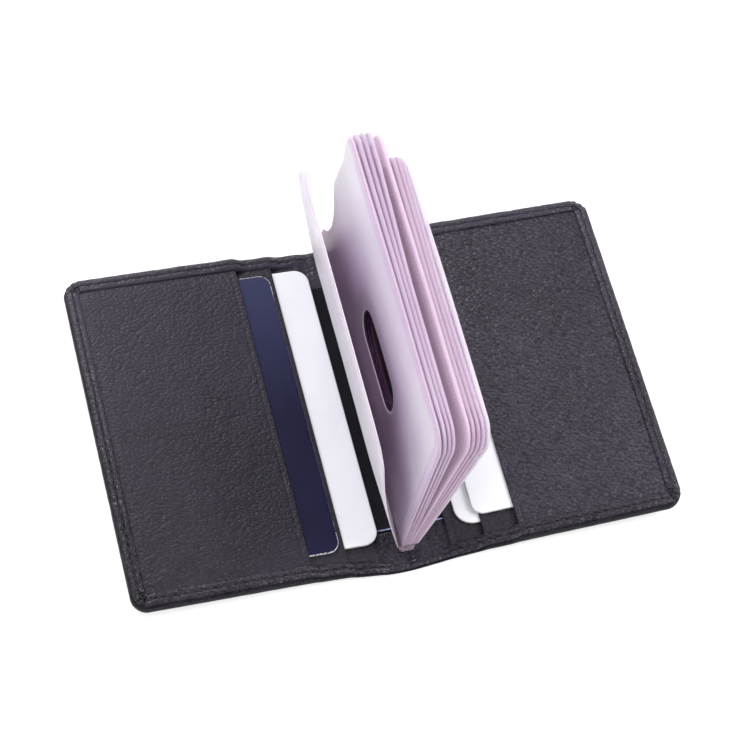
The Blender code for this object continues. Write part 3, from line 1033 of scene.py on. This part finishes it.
def quarter(steps):
    """Angles from 0 to a right angle."""
    return [math.pi / 2 * step / steps for step in range(steps + 1)]


def page_outline(top, mouth, radius):
    """Points (y, h) round a page: up the mouth, along the free edge, down the front, back along the foot."""
    points = []
    height = PAGE_SUNK
    while height < top - radius:
        points.append((through(mouth, height), height))
        height += 1.3
    back = through(mouth, top - radius)
    points += [(back - radius * (1 - math.cos(a)), top - radius * (1 - math.sin(a))) for a in quarter(12)]
    start, end = back - radius, PAGE_FRONT + FRONT_RADIUS
    points += [(mix(start, end, i / LONG_STEPS), top) for i in range(1, LONG_STEPS)]
    for a in quarter(12):
        points.append((end - FRONT_RADIUS * math.sin(a), top - FRONT_RADIUS * (1 - math.cos(a))))
    start, end = top - FRONT_RADIUS, PAGE_SUNK + FOOT_RADIUS
    points += [(PAGE_FRONT, mix(start, end, i / FRONT_STEPS)) for i in range(1, FRONT_STEPS)]
    for a in quarter(6):
        height = PAGE_SUNK + FOOT_RADIUS * (1 - math.sin(a))
        points.append((PAGE_FRONT + FOOT_RADIUS * (1 - math.cos(a)), height))
    start, end = PAGE_FRONT + FOOT_RADIUS, points[0][0]
    return points + [(mix(start, end, i / LONG_STEPS), PAGE_SUNK) for i in range(1, LONG_STEPS)]


def slot_point(y, h):
    """Where a line from the slot's middle towards a point leaves the slot."""
    dy, dh = y - SLOT_SHIFT, h - SLOT_HEIGHT
    radius = SLOT_WIDTH / 2
    reach = SLOT_LENGTH / 2 - radius
    if abs(dh) > 1e-9 and abs(dy) * radius / abs(dh) <= reach:
        scale = radius / abs(dh)
    else:
        size = math.hypot(dy, dh)
        uy = abs(dy) / size
        scale = (reach * uy + math.sqrt(radius ** 2 - reach ** 2 * (1 - uy ** 2))) / size
    return SLOT_SHIFT + dy * scale, SLOT_HEIGHT + dh * scale


# Depths of a page's rings from its edge and from the slot, and how those between are shared out
EDGE_DEPTHS = (0.0, 0.12, 0.4, 1.0, 1.7, 2.2, 2.7, 3.3, 3.7, 5.0)
FIELD_SHARES = (0.12, 0.26, 0.40, 0.54, 0.68, 0.80, 0.90, 0.96)
SLOT_DEPTHS = (1.4, 0.9, 0.5, 0.15, 0.0)
# The depth of all that lies far away, and how much of a page's thickness is left right at a cut
FAR_AWAY = 20.0
CUT_SHARE = 0.55


def half_thickness(index, edge_depth, slot_depth, y, h, seam):
    """Half of a page's thickness: full at the free edge and mouth, pressed thin where a seam is 1."""
    slack = (0.41 if index < 5 else 0.50) if index else 0.06 + 0.75 * smooth(24, 42, y)
    full = 0.10 + slack * max(0.0, h) / PAGE_HEIGHT
    folded = full * math.sqrt(max(0.03, 1 - (1 - min(edge_depth, full) / full) ** 2))
    pressed = 0.6 * full + 0.05 * smooth(0.0, 0.4, edge_depth) - 0.05 * swell(2.2, 0.4, edge_depth)
    pressed = mix(pressed, full, smooth(3.0, 8.0, edge_depth)) * (CUT_SHARE if edge_depth == 0 else 1.0)
    round_slot = 0.12 - 0.03 * swell(1.1, 0.35, slot_depth)
    thick = mix(round_slot, mix(folded, pressed, seam), smooth(0.8, 7.0, slot_depth))
    return thick * (CUT_SHARE if slot_depth == 0 else 1.0)


def page_bow(index, y, h):
    """How far a page bulges out of its own plane."""
    share = h / PAGE_HEIGHT
    if index == 0:
        middle = 1 - 0.5 * smooth(28, 48, abs(y))
        belly = middle * (0.2 * share ** 2 - 9.5 * share * (1 - share))
        foot = 0.6 * (1 - share) * smooth(-30, -44, y)
        return belly - foot + 1.3 * smooth(50, 59, h) * smooth(34, 43, y)
    wave = 0.25 * math.sin(math.pi * share) * math.sin((y + 20) / 17.0 + index)
    return wave * (0.5 if index > 5 else 1.0)


def page_track(before, here, after):
    """Points (y, h, depth from the edge, depth from the slot) from one outline point in to the thumb slot."""
    y, h = here
    size = math.hypot(after[0] - before[0], after[1] - before[1])
    normal = (-(after[1] - before[1]) / size, (after[0] - before[0]) / size)
    slot_y, slot_h = slot_point(y, h)
    reach = math.hypot(slot_y - y, slot_h - h)
    ray = ((slot_y - y) / reach, (slot_h - h) / reach)
    facing = max(0.4, abs(ray[0] * normal[0] + ray[1] * normal[1]))
    outer = [(y + ray[0] * d / facing, h + ray[1] * d / facing, d, FAR_AWAY) for d in EDGE_DEPTHS]
    inner = [(slot_y - ray[0] * d, slot_h - ray[1] * d, FAR_AWAY, d) for d in SLOT_DEPTHS]
    (y0, h0, edge_depth, _), (y1, h1, _, slot_depth) = outer[-1], inner[0]
    span = math.hypot(y0 - y1, h0 - h1)
    field = []
    for share in FIELD_SHARES:
        depths = (edge_depth + span * share, slot_depth + span * (1 - share))
        field.append((mix(y0, y1, share), mix(h0, h1, share), *depths))
    return outer + field + inner


def page(index):
    """One sleeve page: two films welded along the edge and round the thumb slot, bent a little."""
    form = Form()
    root = (index - (len(LEANS) - 1) / 2) * ROOT_PITCH
    top = PAGE_TOPS[index]
    outline = page_outline(top, MOUTHS[index], BACK_RADII[index])
    if index == 1:
        # Its mouth bulges back near the foot
        outline = [(y + 2.0 * swell(8.0, 6.0, h) * (y > 40), h) for y, h in outline]
    # How far each point of the outline lies at the front, on a pressed seam, and on a weld line
    fronts = [smooth(PAGE_FRONT + 12, PAGE_FRONT + 4, y) for y, h in outline]
    seams = [max(front, smooth(6, 2, h)) for front, (y, h) in zip(fronts, outline)]
    lines = [max(front, smooth(top - 5, top - 0.5, h)) for front, (y, h) in zip(fronts, outline)]
    tracks = [page_track(*three) for three in zip(outline[-1:] + outline, outline, outline[1:] + outline[:1])]

    def point(y, h, t):
        lean = LEANS[index] + BACK_LEANS[index] * smooth(-6, 46, y) + MIDDLE_LEANS[index] * swell(0, 30, y)
        angle = math.radians(lean)
        off = page_bow(index, y, h) + t
        x = root + h * math.sin(angle) + off * math.cos(angle)
        z = PAGE_LOW + h * math.cos(angle) - off * math.sin(angle)
        return Vector((x, y, z)) * MM

    sheets = []
    for face in (-1, 1):
        rows = []
        for ring, spots in enumerate(zip(*tracks)):
            points = []
            for (y, h, edge_depth, slot_depth), seam in zip(spots, seams):
                points.append(point(y, h, face * half_thickness(index, edge_depth, slot_depth, y, h, seam)))
            if ring < len(EDGE_DEPTHS + FIELD_SHARES):
                depths = [spot[2] + 6 * (1 - line) for spot, line in zip(spots, lines)]
            else:
                depths = [3.4 + 0.6 * spot[3] for spot in spots]
            # Painted shade round the thumb slot, carried by the shade attribute
            rows.append(form.row(points, depths, smooth(*PAINTED_SHADE_RINGS, ring) * SLOT_PAINTED_SHADES[index]))
        form.skin(rows, around=True)
        sheets.append(rows)
    for edge in (0, -1):
        form.skin([rows[edge] for rows in sheets], around=True)
    obj = form.make(f"sleeve_{index + 1:02d}", [PAGE_FINISHES[index]], sharp=60.0)
    body = f"page_{index + 1:02d}"
    settle(obj, body, "clear_film", body)
    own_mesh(obj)


def page_root():
    """The welded foot that holds all the pages, standing on the base film."""
    form = Form()
    loops = []
    ends = (PAGE_FRONT - 0.8, ROOT_BACK)
    for y in stops(*ends, 1.2):
        from_end = min(y - ends[0], ends[1] - y)
        slim = 0.5 + 0.5 * math.sqrt(smooth(-0.3, 2.0, from_end))
        forward = smooth(-38, -44, y)
        loop = []
        for step in range(ROOT_STEPS + 1):
            angle = math.pi * step / ROOT_STEPS
            raised = 0 < step < ROOT_STEPS
            ripple = 0.05 * math.cos(20 * angle)
            x = -ROOT_HALF_WIDTH * slim * math.cos(angle) * (1 + 0.06 * forward) - 0.5 * forward
            rise = math.sin(angle) ** 0.55 if raised else 0
            z = ROOT_LOW + 0.2 * forward + (ROOT_TOP - ROOT_LOW) * slim * rise + ripple * raised
            loop.append(Vector((x, y, z)) * MM)
        loops.append(form.row(loop, [1.0] * len(loop)))
    form.tube(loops)
    obj = form.make("page_root", [ROOT_FILM], sharp=60.0)
    settle(obj, "spine", "clear_film", "insert_base")


for half in SIDES:
    leather_half(half)
    stitches(half)
    lining(half)
    strip(half, 0)
    strip(half, 1)
    panel(half)
    insert_film(half)
card("left", "lower", LOWER_CARD_LOW, WHITE_FACE, WHITE_CORE, near=0.5, shift=1.0, near_radius=4.0)
card("left", "upper", UPPER_CARD_LOW, NAVY_FACE, NAVY_CORE, near=11.75, shift=0.0, near_radius=3.2)
card("right", "lower", LOWER_CARD_LOW, WHITE_FACE, WHITE_CORE, near=7.5, shift=1.2, near_radius=5.0)
card("right", "upper", UPPER_CARD_LOW, WHITE_FACE, WHITE_CORE, near=12.2, shift=2.7, near_radius=3.1)
page_root()
for number in range(len(LEANS)):
    page(number)


# The floor's half size and height, in metres
FLOOR_REACH = 3.0
FLOOR_LEVEL = -0.00005


def studio():
    """A pale floor that reads as white, and soft light from above, behind and both sides."""
    f = Finish("pale_floor")
    rays = [f.node("LightPath", output=f"Is {kind} Ray") for kind in ("Camera", "Glossy", "Transmission")]
    seen = rays[0].math("MAXIMUM", rays[1]).math("MAXIMUM", rays[2])
    glow = f.blend(seen, (0.0, 0.0, 0.0), (1.0, 1.0, 1.0))
    pale = (0.55, 0.55, 0.55, 1.0)
    material = f.surface(pale, 1.0, Specular_IOR_Level=0.0, Emission_Color=glow, Emission_Strength=0.62)
    mesh = bpy.data.meshes.new("floor")
    corners = [(x * FLOOR_REACH, y * FLOOR_REACH, 0) for x, y in ((-1, -1), (1, -1), (1, 1), (-1, 1))]
    mesh.from_pydata(corners, [], [(0, 1, 2, 3)])
    mesh.materials.append(material)
    floor = in_scene("floor", mesh)
    floor.location.z = FLOOR_LEVEL

    world = bpy.data.worlds.new("soft_room")
    world.use_nodes = True
    background = world.node_tree.nodes["Background"].inputs
    background["Color"].default_value = (1.0, 1.0, 1.0, 1.0)
    background["Strength"].default_value = 0.58
    bpy.context.scene.world = world

    # Each lamp's name, place, size and power
    lamps = (
        ("back_softbox", (-0.20, 0.78, 0.68), 0.50, 5.9),
        ("right_softbox", (0.75, -0.15, 0.85), 0.55, 7.4),
        ("left_softbox", (-0.75, -0.35, 0.80), 0.55, 3.5),
    )
    for name, where, size, power in lamps:
        lamp = bpy.data.lights.new(name, "AREA")
        lamp.size = size
        lamp.energy = power
        obj = in_scene(name, lamp)
        obj.location = where
        aim = Vector((0, 0, 0.01)) - Vector(where)
        obj.rotation_mode = "QUATERNION"
        obj.rotation_quaternion = aim.to_track_quat("-Z", "Y")


def camera():
    """The camera that the holder is seen through, aimed down from its front."""
    azimuth, elevation, roll = -0.4302520, 1.0828243, 0.2049879
    focal_pixels, picture, sensor = 2345.41, 745.0, 36.0
    distance, shift_x, shift_y = 647.25, -1.388, -9.038
    flat = math.cos(elevation)
    backwards = Vector((math.sin(azimuth) * flat, -math.cos(azimuth) * flat, math.sin(elevation)))
    level = Vector((math.cos(azimuth), math.sin(azimuth), 0))
    above = backwards.cross(level)
    right = math.cos(roll) * level + math.sin(roll) * above
    up = math.cos(roll) * above - math.sin(roll) * level
    data = bpy.data.cameras.new("camera")
    data.sensor_width = sensor
    data.lens = focal_pixels * sensor / picture
    data.clip_start, data.clip_end = 0.01, 20.0
    obj = in_scene("camera", data)
    obj.location = (-shift_x * right - shift_y * up + distance * backwards) * MM
    obj.rotation_mode = "QUATERNION"
    obj.rotation_quaternion = Matrix((right, up, backwards)).transposed().to_quaternion()
    bpy.context.scene.camera = obj


studio()
camera()
bpy.context.scene.view_settings.view_transform = "Standard"
